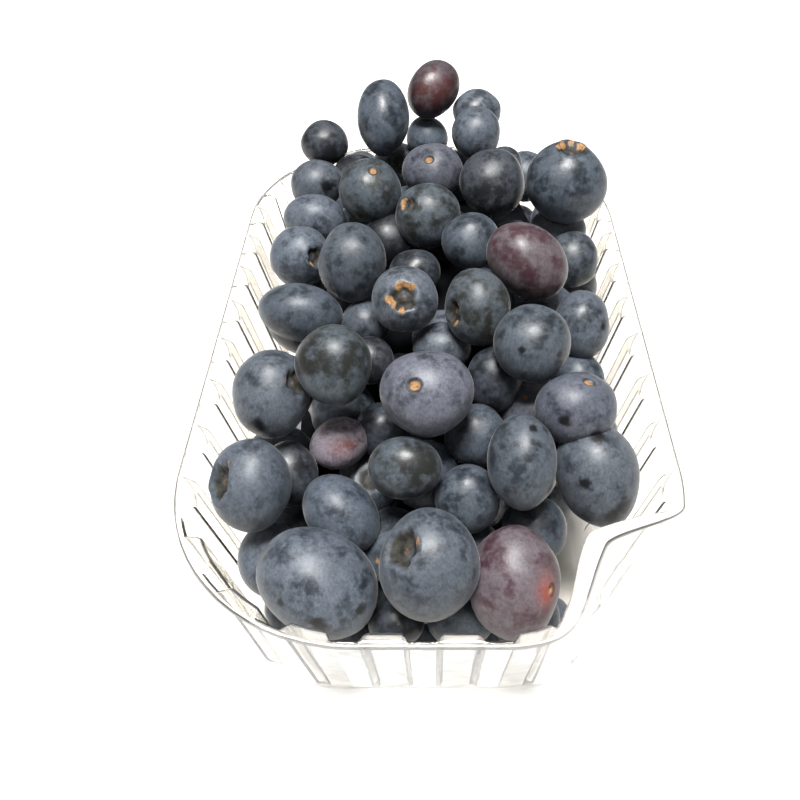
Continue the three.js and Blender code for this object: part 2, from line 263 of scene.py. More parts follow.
@dataclass(frozen=True)
class BerrySkin:
    """Blueberry skin, grown: a thin dark skin under a dusty wax bloom.

    The bloom scatters, so it looks pale, blue-grey and matt. Where it is rubbed off, the skin is
    nearly black and shines softly. The crown and the stem scar are dry, corky and orange. The
    crown's hollow, the gaps between its lobes and a ring round the scar are darkened with painted
    shade. Each group of swings says how far patterns move one thing up and down.
    """

    noise_roughness: float = 0.6
    scuff_stretch: Triple = (1.0, 1.0, 0.3)
    scuff_turn: Triple = (0.9, 0.5, 0.3)
    cover_swings: tuple = ((Pattern.MOTTLE, 0.17), (Pattern.PATCHES, 0.36), (Pattern.GRAIN, 0.07))
    shade_swings: tuple = ((Pattern.GRAIN, 0.08), (Pattern.MOTTLE, 0.12), (Pattern.SCUFFS, 0.17))
    spot_swings: tuple = ((Pattern.MOTTLE, 0.2),)
    dry_swings: tuple = ((Pattern.GRAIN, 0.06),)
    bloom_edge: Pair = (0.1, 0.85)
    spot_edge: Pair = (0.5, 1.35)
    spot: str = "#0e0f12"
    no_spot: float = 9.0
    # The hollow's colours are the crown's dry floor, darkened by painted shade in the hollow, between the
    # lobes and round the scar.
    hollow: DryOrShadedPart = DryOrShadedPart("hollow", (0.25, 0.75), "#0f0e0d", "#2c2a22", Pattern.MOTTLE, (0.35, 0.65))
    cork: DryOrShadedPart = DryOrShadedPart("cork", (0.25, 0.65), "#523b25", "#8f6b43", Pattern.GRAIN, (0.25, 0.6))
    bloom_roughness: float = 0.45
    rubbed_roughness: float = 0.34
    dry_roughness: float = 0.3
    grain_bump: Pair = (0.3, 0.05)
    mottle_bump: Pair = (0.4, 0.12)
    ior: float = 1.39
    sheen: float = 0.12
    sheen_roughness: float = 0.3

    def material(self, spots: list[tuple[Vector, float]]) -> bpy.types.Material:
        """Makes the skin.

        Args:
            spots: The centre, in metres, and the radius of each dark spot.

        Returns:
            The material, which reads its tones from the mesh.
        """
        made = bpy.data.materials.new("blueberry_skin_with_wax_bloom")
        made.use_nodes = True
        n = Nodes(made.node_tree)
        place = n.add("ShaderNodeTexCoord").outputs["Object"]
        turned = {"Vector": place, "Rotation": self.scuff_turn, "Scale": self.scuff_stretch}
        drawn_out = n.add("ShaderNodeMapping", turned)
        noises = {}
        for pattern in Pattern:
            noise = pattern.value
            inputs = {"Vector": drawn_out if pattern is Pattern.SCUFFS else place}
            inputs |= {"Scale": 1 / (noise.size_mm * MM), "Detail": noise.detail}
            inputs |= {"Roughness": self.noise_roughness, "Distortion": noise.swirl}
            noises[pattern] = n.add(NOISE, inputs)
        kept = {"bloom_cover": "Fac", "cork": "Fac", "hollow": "Fac"}
        kept |= {"bloom_colour": "Color", "rubbed_colour": "Color"}
        own = {
            name: n.add("ShaderNodeAttribute", attribute_name=name).outputs[kind]
            for name, kind in kept.items()
        }

        def swung(value: object, swings: tuple) -> bpy.types.Node:
            """Moves a value up and down by some patterns."""
            for pattern, swing in swings:
                ends = (0.5 - pattern.value.reach, 0.5 + pattern.value.reach, -swing, swing)
                aside = n.add(RANGE, (noises[pattern], *ends), **SMOOTH)
                value = n.add(MATH, (value, aside), operation="ADD")
            return value

        bloom = n.add(RANGE, (swung(own["bloom_cover"], self.cover_swings), *self.bloom_edge), **SMOOTH)
        away = swung(self.nearest_spot(n, place, spots), self.spot_swings)
        clear = n.add(RANGE, (away, *self.spot_edge), **SMOOTH)
        bloom = n.add(MATH, (bloom, clear), operation="MULTIPLY")
        rubbed = n.add(MIX, {0: clear, 6: linear(self.spot), 7: own["rubbed_colour"]}, **COLOURS)
        shade = swung(1.0, self.shade_swings)
        dusty = n.add(
            MIX, {0: 1.0, 6: own["bloom_colour"], 7: shade}, blend_type="MULTIPLY", **COLOURS
        )
        colour = n.add(MIX, {0: bloom, 6: rubbed, 7: dusty}, **COLOURS)
        dry: object = 0.0
        # The hollow mixes in the dry floor with painted shade over it, and the cork the dry, corky skin.
        for part in (self.hollow, self.cork):
            share = n.add(RANGE, (swung(own[part.name], self.dry_swings), *part.edge), **SMOOTH)
            mixed = n.add(RANGE, (noises[part.pattern], *part.mixed), **SMOOTH)
            ground = n.add(MIX, {0: mixed, 6: linear(part.dark), 7: linear(part.light)}, **COLOURS)
            colour = n.add(MIX, {0: share, 6: colour, 7: ground}, **COLOURS)
            dry = n.add(MATH, (dry, share), operation="MAXIMUM")
        matt = n.add(RANGE, (bloom, 0.0, 1.0, self.rubbed_roughness, self.bloom_roughness), **SMOOTH)
        drier = n.add(RANGE, (dry, 0.0, 1.0, 0.0, self.dry_roughness), **SMOOTH)
        matt = n.add(MATH, (matt, drier), operation="ADD", use_clamp=True)
        normal = {}
        for pattern, (strength, depth) in (
            (Pattern.GRAIN, self.grain_bump),
            (Pattern.MOTTLE, self.mottle_bump),
        ):
            inputs = {"Strength": strength, "Distance": depth * MM, "Height": noises[pattern]}
            normal = {"Normal": n.add("ShaderNodeBump", inputs | normal)}
        inputs = {"Base Color": colour, "Roughness": matt, "IOR": self.ior}
        inputs |= {"Sheen Weight": self.sheen, "Sheen Roughness": self.sheen_roughness}
        shader = n.add("ShaderNodeBsdfPrincipled", inputs | normal)
        n.add("ShaderNodeOutputMaterial", {"Surface": shader})
        return made

    def nearest_spot(
        self, n: Nodes, place: bpy.types.NodeSocket, spots: list[tuple[Vector, float]]
    ) -> object:
        """Finds how far the nearest dark spot is.

        Args:
            n: The material's nodes.
            place: Where on the heap it is.
            spots: The centre, in metres, and the radius of each spot.

        Returns:
            The distance to its centre, as a share of its radius.
        """
        nearest: object = self.no_spot
        for centre, radius in spots:
            away = n.add("ShaderNodeVectorMath", (place, centre), operation="DISTANCE")
            share = n.add(MATH, (away, radius), operation="DIVIDE")
            nearest = n.add(MATH, (share, nearest), operation="MINIMUM")
        return nearest


@dataclass(frozen=True)
class ClearSheet:
    """Clear PET sheet, thermoformed: glossy, hardly tinted, and faintly wavy from the mould.

    Its cut edge is painted dark, as the sheet looks where it is seen edge-on, and where it is bent
    sharply it has gone milky. It mirrors less than such a sheet does, because the floor round it is
    much brighter than a table.
    """

    tint: str = "#f5f2ed"
    painted_edge_dark: str = "#26221e"
    clarity: float = 0.985
    bent_clarity: float = 0.62
    ior: float = 1.49
    glint: float = 0.3
    roughness: float = 0.03
    wave_mm: float = 5.0
    wave_depth_mm: float = 0.05
    lamp_tint: str = "#f2f2f2"

    def material(self) -> bpy.types.Material:
        """Makes the sheet. Lamps shine through it, because it throws no dark shadow."""
        made = bpy.data.materials.new("clear_PET_sheet_thermoformed")
        made.use_nodes = True
        n = Nodes(made.node_tree)
        place = n.add("ShaderNodeTexCoord").outputs["Object"]
        edge, bent = (
            n.add("ShaderNodeAttribute", attribute_name=name).outputs["Fac"] for name in ("edge", "bent")
        )
        # The dark tint along the lip's cut edge is painted shade, for the sheet seen edge-on.
        tint = n.add(MIX, {0: edge, 6: linear(self.tint), 7: linear(self.painted_edge_dark)}, **COLOURS)
        clear = n.add(RANGE, (bent, 0.0, 1.0, self.clarity, self.bent_clarity))
        waves = n.add(NOISE, {"Vector": place, "Scale": 1 / (self.wave_mm * MM), "Detail": 1.0})
        bump = n.add(
            "ShaderNodeBump", {"Strength": 1.0, "Distance": self.wave_depth_mm * MM, "Height": waves}
        )
        shader = n.add(
            "ShaderNodeBsdfPrincipled",
            {
                "Base Color": tint,
                "Roughness": self.roughness,
                "IOR": self.ior,
                "Specular IOR Level": self.glint,
                "Transmission Weight": clear,
                "Normal": bump,
            },
        )
        lamp = n.add("ShaderNodeBsdfTransparent", {"Color": linear(self.lamp_tint)})
        path = n.add("ShaderNodeLightPath").outputs["Is Shadow Ray"]
        both = n.add("ShaderNodeMixShader", (path, shader, lamp))
        n.add("ShaderNodeOutputMaterial", {"Surface": both})
        return made


@dataclass(frozen=True)
class PlainMatt:
    """A plain matt surface with a faint mottle, such as painted board, or painted shade deep in a heap."""

    name: str
    light: str
    dark: str
    mottle_mm: float
    roughness: float = 0.9
    glint: float = 0.5

    def material(self) -> bpy.types.Material:
        """Makes the surface."""
        made = bpy.data.materials.new(self.name)
        made.use_nodes = True
        n = Nodes(made.node_tree)
        place = n.add("ShaderNodeTexCoord").outputs["Object"]
        mottle = n.add(NOISE, {"Vector": place, "Scale": 1 / (self.mottle_mm * MM)})
        colour = n.add(MIX, {0: mottle, 6: linear(self.dark), 7: linear(self.light)}, **COLOURS)
        inputs = {"Base Color": colour, "Roughness": self.roughness, "Specular IOR Level": self.glint}
        n.add("ShaderNodeOutputMaterial", {"Surface": n.add("ShaderNodeBsdfPrincipled", inputs)})
        return made


# ---------------------------------------------------------------------------------------------
# The punnet
# ---------------------------------------------------------------------------------------------


@dataclass(frozen=True)
class Station:
    """One point of the sheet's middle line: how far in from the mouth, how high, and how fluted."""

    inset: float
    z: float
    flute: float = 0.0
    flange: float = 0.0


@dataclass
class ClearPunnet:
    """The formed sheet: a raised panel, a foot ring, a fluted wall, and a flange with a lip."""

    width: float = 95.0
    length: float = 150.0
    height: float = 50.0
    mouth_radius: float = 32.0
    side_flange: float = 3.7
    end_flange: float = 2.2
    lip_drop: float = 1.3
    sheet: float = 0.5
    film: float = 0.36
    lip_inset: float = 0.45
    rounding: float = 1.3
    rounding_limit: float = 0.45
    wall_lean: float = 7.2
    wall_foot_z: float = 9.0
    wall_stop_z: float = 32.0
    flute_foot_z: float = 15.0
    flute_count: int = 33
    flute_phase: float = -1.0
    flute_share: float = 0.68
    flute_width: float = 4.4
    flute_ramp: float = 1.1
    crease: float = 0.1
    crease_steps: tuple[float, ...] = (-0.22, -0.1, 0.1, 0.22)
    foot_outer_inset: float = 12.6
    foot_inner_inset: float = 19.0
    panel_inset: float = 22.0
    panel_rise: float = 1.2
    panel_hole: float = 1.0
    base_corner_inset: float = 9.1
    base_corner_z: float = 1.8
    dent: Point = (-12.3, 0.8, 0.0)
    dent_reach: Triple = (14.5, 46.5, 55.0)
    dent_slack: float = 3.4
    dent_fade: float = 1.2
    dent_flatten: float = 3.0
    corner_push: float = 4.0
    corner_steps: int = 4
    dented_step: float = 0.6
    edge_facing: Pair = (0.3, 0.8)
    edge_drops: Triple = (0.9, 0.55, 0.1)

    def __post_init__(self) -> None:
        """Works out the mouth, which runs round inside the flange."""
        self.half_width = self.width / 2 - self.side_flange
        self.half_length = self.length / 2 - self.end_flange
        self.near_straight = 2 * (self.half_width - self.mouth_radius)
        self.side_straight = 2 * (self.half_length - self.mouth_radius)
        self.corner_arc = math.pi / 2 * self.mouth_radius
        straights = 2 * (self.near_straight + self.side_straight)
        self.mouth_length = straights + 4 * self.corner_arc

    def on_mouth(self, distance: float) -> tuple[np.ndarray, np.ndarray]:
        """Finds a place on the mouth.

        Args:
            distance: How far along the mouth it is from the middle of the near end.

        Returns:
            The place and the outward direction there, both level.
        """
        left = (distance + self.near_straight / 2) % self.mouth_length
        place = np.array([-self.near_straight / 2, -self.half_length])
        heading = 0.0
        for straight in (self.near_straight, self.side_straight) * 2:
            along = np.array([math.cos(heading), math.sin(heading)])
            outward = np.array([along[1], -along[0]])
            if left <= straight:
                return place + along * left, outward
            left -= straight
            centre = place + along * straight - outward * self.mouth_radius
            turn = min(left, self.corner_arc) / self.mouth_radius
            cos, sin = math.cos(turn), math.sin(turn)
            outward = np.array([outward[0] * cos - outward[1] * sin, outward[0] * sin + outward[1] * cos])
            place = centre + outward * self.mouth_radius
            if left <= self.corner_arc:
                return place, outward
            left -= self.corner_arc
            heading += math.pi / 2
        return place, np.array([0.0, -1.0])

    def dent_share(self, distance: float, z: float) -> float:
        """How much of the dent is felt at a distance along the mouth and at a height."""
        start, peak, end = self.dent_reach
        rise = smoothstep(distance, start, peak) * (1 - smoothstep(distance, peak, end))
        return float(rise) * (max(0.0, z) / self.height) ** self.dent_fade

    def point(self, distance: float, station: Station, depth: float) -> np.ndarray:
        """Places a station of the section.

        Args:
            distance: How far along the mouth its column is.
            station: The station.
            depth: How deep the flute is in that column.

        Returns:
            The point, in millimetres.
        """
        place, outward = self.on_mouth(distance)
        width = self.side_flange * outward[0] ** 2 + self.end_flange * outward[1] ** 2
        share = self.dent_share(distance, station.z)
        pocket = self.flute_share * station.flute * depth * max(0.0, 1 - self.dent_flatten * share)
        out = (station.flange + pocket) * width + self.corner_push_at(outward, station.z)
        place = place + outward * (out - station.inset)
        return np.array([place[0], place[1], station.z]) + np.array(self.dent) * share

    def corner_push_at(self, outward: np.ndarray, z: float) -> float:
        """How far a corner stands out at a height, because it is squarer low down."""
        return self.corner_push * (1 - z / self.height) * (2 * outward[0] * outward[1]) ** 2

    def wall_inset(self, z: float) -> float:
        """The inset of the wall's outer face at a height."""
        return self.wall_lean * (self.height - z) / (self.height - self.wall_foot_z)

    def columns(self) -> list[tuple[float, float]]:
        """Where the columns of points stand, and how deep the flute is there, with narrow creases."""
        pitch = (self.mouth_length - self.dent_slack) / self.flute_count
        half = self.flute_width / 2
        foot = half + self.flute_ramp
        near = [edge + aside for edge in (half, foot) for aside in self.crease_steps]
        offsets = sorted({0.0, -pitch / 2, *near, *(-value for value in near)})
        across = [half - self.crease, half + self.crease, foot - self.crease, foot + self.crease]
        shares = [1.0, 1 - self.crease / self.flute_ramp, self.crease / self.flute_ramp, 0.0]
        found = []
        between = np.arange(-pitch / 2, pitch / 2, self.dented_step)
        start, _, end = self.dent_reach
        for i in range(self.flute_count):
            slack = self.dent_slack * float(smoothstep(i * pitch, start, end))
            dented = start < i * pitch < end + pitch
            for offset in sorted({*offsets, *between}) if dented else offsets:
                place = self.flute_phase + i * pitch + slack + offset
                found.append((place, float(np.interp(abs(offset), across, shares))))
        return found

    def middle_line(self) -> list[Station]:
        """The sheet's middle line, from near the middle of the base out to the lip."""
        half = self.film / 2
        top = self.height - half
        corners = [
            Station(self.half_width - self.panel_hole, self.panel_rise + half),
            Station(self.panel_inset, self.panel_rise + half),
            Station(self.foot_inner_inset, half),
            Station(self.foot_outer_inset, half),
            Station(self.base_corner_inset + half, self.base_corner_z + half),
            Station(self.wall_lean + half, self.wall_foot_z),
            Station(self.wall_inset(self.flute_foot_z) + half, self.flute_foot_z, 1.0),
            Station(self.wall_inset(self.wall_stop_z) + half, self.wall_stop_z, 1.0),
            Station(half, top, 1.0),
            Station(self.lip_inset, top, flange=1.0),
            Station(half, self.height - self.lip_drop, flange=1.0),
        ]
        return self.rounded(corners)

    def rounded(self, corners: list[Station]) -> list[Station]:
        """Rounds the corners of a line of stations.

        Args:
            corners: The line, corner by corner.

        Returns:
            The line with a short curve at each corner.
        """
        line = [corners[0]]
        for before, here, after in zip(corners, corners[1:], corners[2:]):
            ends = []
            for other in (before, after):
                wide = self.side_flange * (other.flange - here.flange)
                run = math.hypot(other.inset - here.inset - wide, other.z - here.z)
                ends.append(self.between(here, other, min(self.rounding / run, self.rounding_limit)))
            for step in range(self.corner_steps + 1):
                t = step / self.corner_steps
                line.append(self.between(self.between(ends[0], here, t), self.between(here, ends[1], t), t))
        line.append(corners[-1])
        return line

    def between(self, a: Station, b: Station, share: float) -> Station:
        """A station on the way from one to another."""
        keep = 1 - share
        return Station(
            a.inset * keep + b.inset * share,
            a.z * keep + b.z * share,
            a.flute * keep + b.flute * share,
            a.flange * keep + b.flange * share,
        )

    def outline(self) -> list[Station]:
        """The section of the whole sheet: out along its underside, round the lip, and back."""
        line = self.middle_line()
        under, over = [], []
        for i, here in enumerate(line):
            before, after = line[max(0, i - 1)], line[min(len(line) - 1, i + 1)]
            inwards = after.inset - before.inset - self.side_flange * (after.flange - before.flange)
            run = math.hypot(inwards, after.z - before.z)
            aside = (after.z - before.z) / run * self.film / 2
            above = -inwards / run * self.film / 2
            under.append(Station(here.inset - aside, here.z - above, here.flute, here.flange))
            over.append(Station(here.inset + aside, here.z + above, here.flute, here.flange))
        return under + over[::-1]

    def edge_share(self, station: Station, distance: float) -> float:
        """Whether the painted dark edge, for the sheet seen edge-on, shows at a point of the lip: it starts
        higher along the sides.
        """
        _, outward = self.on_mouth(distance)
        plain = max(0.0, 1 - self.dent_flatten * self.dent_share(distance, self.height))
        side = float(smoothstep(abs(outward[0]), *self.edge_facing))
        at_end, dented, at_side = self.edge_drops
        drop = at_end + (dented + (at_side - dented) * plain - at_end) * side
        return float(station.flange == 1.0 and station.z < self.height - drop)

    def build(self) -> bpy.types.Object:
        """Builds the sheet and dresses it.

        Returns:
            The piece.
        """
        outline = self.outline()
        columns = self.columns()
        rings = len(columns)
        places = [(station, *column) for station in outline for column in columns]
        points = [self.point(distance, station, depth) for station, distance, depth in places]
        faces = []
        for ring in range(len(outline) - 1):
            for i in range(rings):
                j = (i + 1) % rings
                low, high = ring * rings, (ring + 1) * rings
                faces.append((low + i, low + j, high + j, high + i))
        for station, first in ((outline[0], 0), (outline[-1], rings * (len(outline) - 1))):
            pole = len(points)
            points.append(np.array([0.0, 0.0, station.z]))
            for i in range(rings):
                j = (i + 1) % rings
                ends = (first + j, first + i) if first == 0 else (first + i, first + j)
                faces.append((pole, *ends))
        piece = mesh_object("clear_punnet", np.array(points) * MM, faces, ClearSheet().material())
        on_edge = [self.edge_share(station, distance) for station, distance, _ in places]
        bent = [self.dent_share(distance, station.z) for station, distance, _ in places]
        for name, shares in (("edge", on_edge), ("bent", bent)):
            store(piece.data, name, np.array(shares + [0.0, 0.0]))
        recalculate(piece)
        return piece


def recalculate(piece: bpy.types.Object) -> None:
    """Merges doubled points and turns the faces of a closed shell outwards."""
    shell = bmesh.new()
    shell.from_mesh(piece.data)
    bmesh.ops.remove_doubles(shell, verts=shell.verts, dist=1e-6)
    bmesh.ops.recalc_face_normals(shell, faces=shell.faces)
    shell.to_mesh(piece.data)
    shell.free()
    piece.data.shade_smooth()


# ---------------------------------------------------------------------------------------------
# The berries
# ---------------------------------------------------------------------------------------------


class End(Enum):
    """Which end of a berry is turned to where it is aimed."""

    CROWN = "crown"
    SCAR = "scar"
    AWAY = "away"


@dataclass(frozen=True)
class Berry:
    """A berry laid on top, as it is seen from the eye.

    Its place is in millimetres, its width and height are what it shows, and it is rolled that many
    degrees anticlockwise. An aim is so many radii right and up of its middle, and its ring is the
    radius of the crown or scar there. A spot has an aim and a radius, and a blush has a strength
    too. An arc of cork has a place on the clock and a reach, in degrees.
    """

    place: Point
    width: float
    height: float
    roll: float = 0.0
    skin: Skin = Skin.BLOOMED
    end: End = End.AWAY
    aim: Aim = (0.0, 0.0)
    ring: float = 0.45
    arcs: tuple[Pair, ...] = ()
    spots: tuple[Triple, ...] = ()
    blush: tuple[float, ...] = ()


LAID = [
    Berry((0.5, 54, 77.5), 12.5, 15.5, -40, Skin.MAROON, blush=(0.1, -0.2, 0.8, 0.14)),
    Berry((-11.5, 45, 75), 13, 19, skin=Skin.SLATE, spots=((-0.08, 0.78, 0.11),)),
    Berry((11.5, 53.5, 72), 12.5, 11.5),
    Berry((11, 43, 72), 12.5, 13),
    Berry((-1, 51.5, 66), 11, 11),
    Berry((-26.5, 46, 67.5), 12, 11.5, skin=Skin.INKY),
    Berry((-28, 35.5, 62.5), 13.5, 12, 15, spots=((0.5, -0.3, 0.3),)),
    Berry((-14, 26.5, 66.5), 15, 15.5, skin=Skin.OLIVE, end=End.SCAR, aim=(0.15, 0.47), ring=0.14),
    Berry((0.5, 34, 67), 15, 13.5, skin=Skin.LAVENDER, end=End.SCAR, aim=(-0.13, 0.2), ring=0.14),
    Berry((14.5, 29, 67), 16, 16.5, skin=Skin.INKY),
    Berry((18.5, 47, 60.5), 10.5, 10.5, skin=Skin.INKY),
    Berry(
        (30.5, 23, 71), 19, 18.5, skin=Skin.SLATE, end=End.CROWN, aim=(0.06, 0.74), ring=0.38,
        arcs=((-48, 34), (8, 12), (62, 30)),
    ),
    Berry((-18.5, 40.5, 61), 13, 12.5, skin=Skin.INKY),
    # Its darker skin is painted shade.
    Berry((-10, 19.5, 57.5), 13.5, 13.5, skin=Skin.PAINTED_SHADE),
    Berry((30, 22, 58), 14, 13),
    Berry(
        (-0.5, 20, 64), 15.5, 15.5, skin=Skin.OLIVE, end=End.CROWN, aim=(-0.6, 0.22), ring=0.27,
        arcs=((-75, 55),),
    ),
    Berry((-27.5, 24.5, 60), 15, 12),
    Berry((9, 10.5, 64), 13.5, 13, skin=Skin.SLATE),
    Berry((20.5, 1, 66), 19, 15.5, -40, Skin.MAUVE),
    Berry((32.5, 12.5, 57.5), 12, 13.5, skin=Skin.SLATE),
    Berry((-29, 9, 61), 13.5, 14, end=End.CROWN, aim=(0.66, -0.1), ring=0.34, arcs=((200, 25),)),
    Berry((-16.5, 2, 65), 15, 17.5, skin=Skin.SLATE),
    Berry((-3.5, 9, 56.5), 12, 11, skin=Skin.INKY),
    Berry(
        (-5, -9.5, 64.5), 14, 14, end=End.CROWN, aim=(-0.03, -0.02), ring=0.46,
        arcs=((5, 48), (250, 32), (188, 12)),
    ),
    Berry(
        (9.5, -11, 64), 13.5, 16.5, skin=Skin.OLIVE, end=End.CROWN, aim=(-0.8, -0.2), ring=0.34,
        arcs=((170, 22),),
    ),
    Berry((-26.5, -10, 61.5), 18, 12.5, -8, Skin.SLATE),
    Berry((19.5, -22, 64.5), 15.5, 15.5, skin=Skin.SLATE, spots=((-0.34, -0.2, 0.11), (0.61, -0.31, 0.1))),
    Berry((31.5, -10, 58), 12, 15, spots=((0.66, -0.08, 0.14),)),
    Berry((-14, -6, 54.5), 11, 11, skin=Skin.SLATE),
    Berry((2.5, -13, 54.5), 13, 10.5),
    Berry((-17.5, -29, 66), 14.5, 15.5, skin=Skin.OLIVE),
    Berry(
        (-30, -30, 59), 15, 17.5, end=End.CROWN, aim=(0.78, 0.3), ring=0.34,
        spots=((-0.2, -0.7, 0.25),),
    ),
    Berry((-0.5, -33.5, 63), 18, 16.5, skin=Skin.LAVENDER, end=End.SCAR, aim=(-0.25, 0.21), ring=0.14),
    Berry((-12.5, -15.5, 53), 10.5, 10.5, skin=Skin.INKY),
    Berry((13, -21.5, 54), 12, 13.5, skin=Skin.INKY),
    Berry(
        (27.5, -32.5, 57.5), 16.5, 14.5, skin=Skin.LAVENDER, end=End.SCAR, aim=(0.22, 0.76), ring=0.13,
        spots=((-0.37, -0.28, 0.17),),
    ),
    Berry((31, -17, 49), 11.5, 11.5, skin=Skin.SLATE),
    # Its lighter skin is painted light.
    Berry((-18, -32, 46.5), 12.5, 10.5, 20, Skin.PAINTED_LIGHT, blush=(0.2, -0.1, 0.6, 0.45)),
    Berry((-9.5, -28.5, 46), 12, 12, skin=Skin.INKY),
    Berry((-4.5, -43.5, 54), 14, 12, skin=Skin.OLIVE),
    Berry((9, -32, 49), 13, 13, skin=Skin.SLATE),
    Berry((16.5, -44, 56.5), 13, 17.5, skin=Skin.SLATE, spots=((0.24, 0.73, 0.13),)),
    Berry(
        (32, -43.5, 47.5), 16, 21.5, 15,
        spots=((-0.46, -0.13, 0.13), (0.45, -0.5, 0.22), (0.15, -0.68, 0.2), (-0.1, 0.7, 0.16)),
    ),
    Berry((-32, -46.5, 53), 15, 17.5, end=End.CROWN, aim=(-0.7, 0.16), ring=0.44, arcs=((35, 7),)),
    Berry((-27.5, -38.5, 45), 11.5, 13.5, skin=Skin.INKY),
    Berry((-17, -45.5, 42), 17.5, 13.5, -48),
    Berry((7, -45.5, 47), 12.5, 13.5, skin=Skin.SLATE),
    Berry((20, -47.5, 39.5), 13.5, 13.5, skin=Skin.SLATE, end=End.SCAR, aim=(-0.2, 0.85), ring=0.15),
    Berry((-30, -52.5, 37), 13.5, 15),
    Berry(
        (-20.5, -59, 39.2), 24.5, 19, -34,
        spots=((0.74, -0.24, 0.13), (-0.5, -0.75, 0.06), (0.05, -0.5, 0.15), (-0.52, -0.2, 0.08)),
    ),
    Berry(
        (0, -58.5, 46.5), 18.5, 20.5, end=End.CROWN, aim=(-0.58, 0.42), ring=0.42,
        arcs=((62, 6),),
    ),
    # Its blush round the scar is partly its reddish skin and partly a painted glow of light through the
    # flesh.
    Berry(
        (15.3, -58.7, 40), 17.3, 21.4, skin=Skin.MAUVE, end=End.SCAR, aim=(0.74, 0.0), ring=0.1,
        blush=(0.64, 0.02, 0.36, 0.8),
    ),
    Berry((-6.5, -61, 28), 11, 9.5, skin=Skin.INKY),
    Berry((6, -60, 28), 13.5, 11.5, skin=Skin.SLATE),
]


@dataclass
class Lying:
    """A berry where it lies: its place, its three sizes and its turn."""

    place: np.ndarray
    size: np.ndarray
    turn: np.ndarray

    def __post_init__(self) -> None:
        """Works out the mean radius, of the two sizes that show."""
        self.radius = float(self.size[0] + self.size[2]) / 4


class Draws:
    """Numbers from a seeded, linear congruential generator."""

    FACTOR = 1664525
    STEP = 1013904223
    SIZE = 2**32

    def __init__(self, seed: int) -> None:
        """Starts from a seed."""
        self.state = seed

    def __call__(self, low: float = 0.0, high: float = 1.0) -> float:
        """The next number, between two ends."""
        self.state = (self.state * self.FACTOR + self.STEP) % self.SIZE
        return low + (high - low) * self.state / self.SIZE


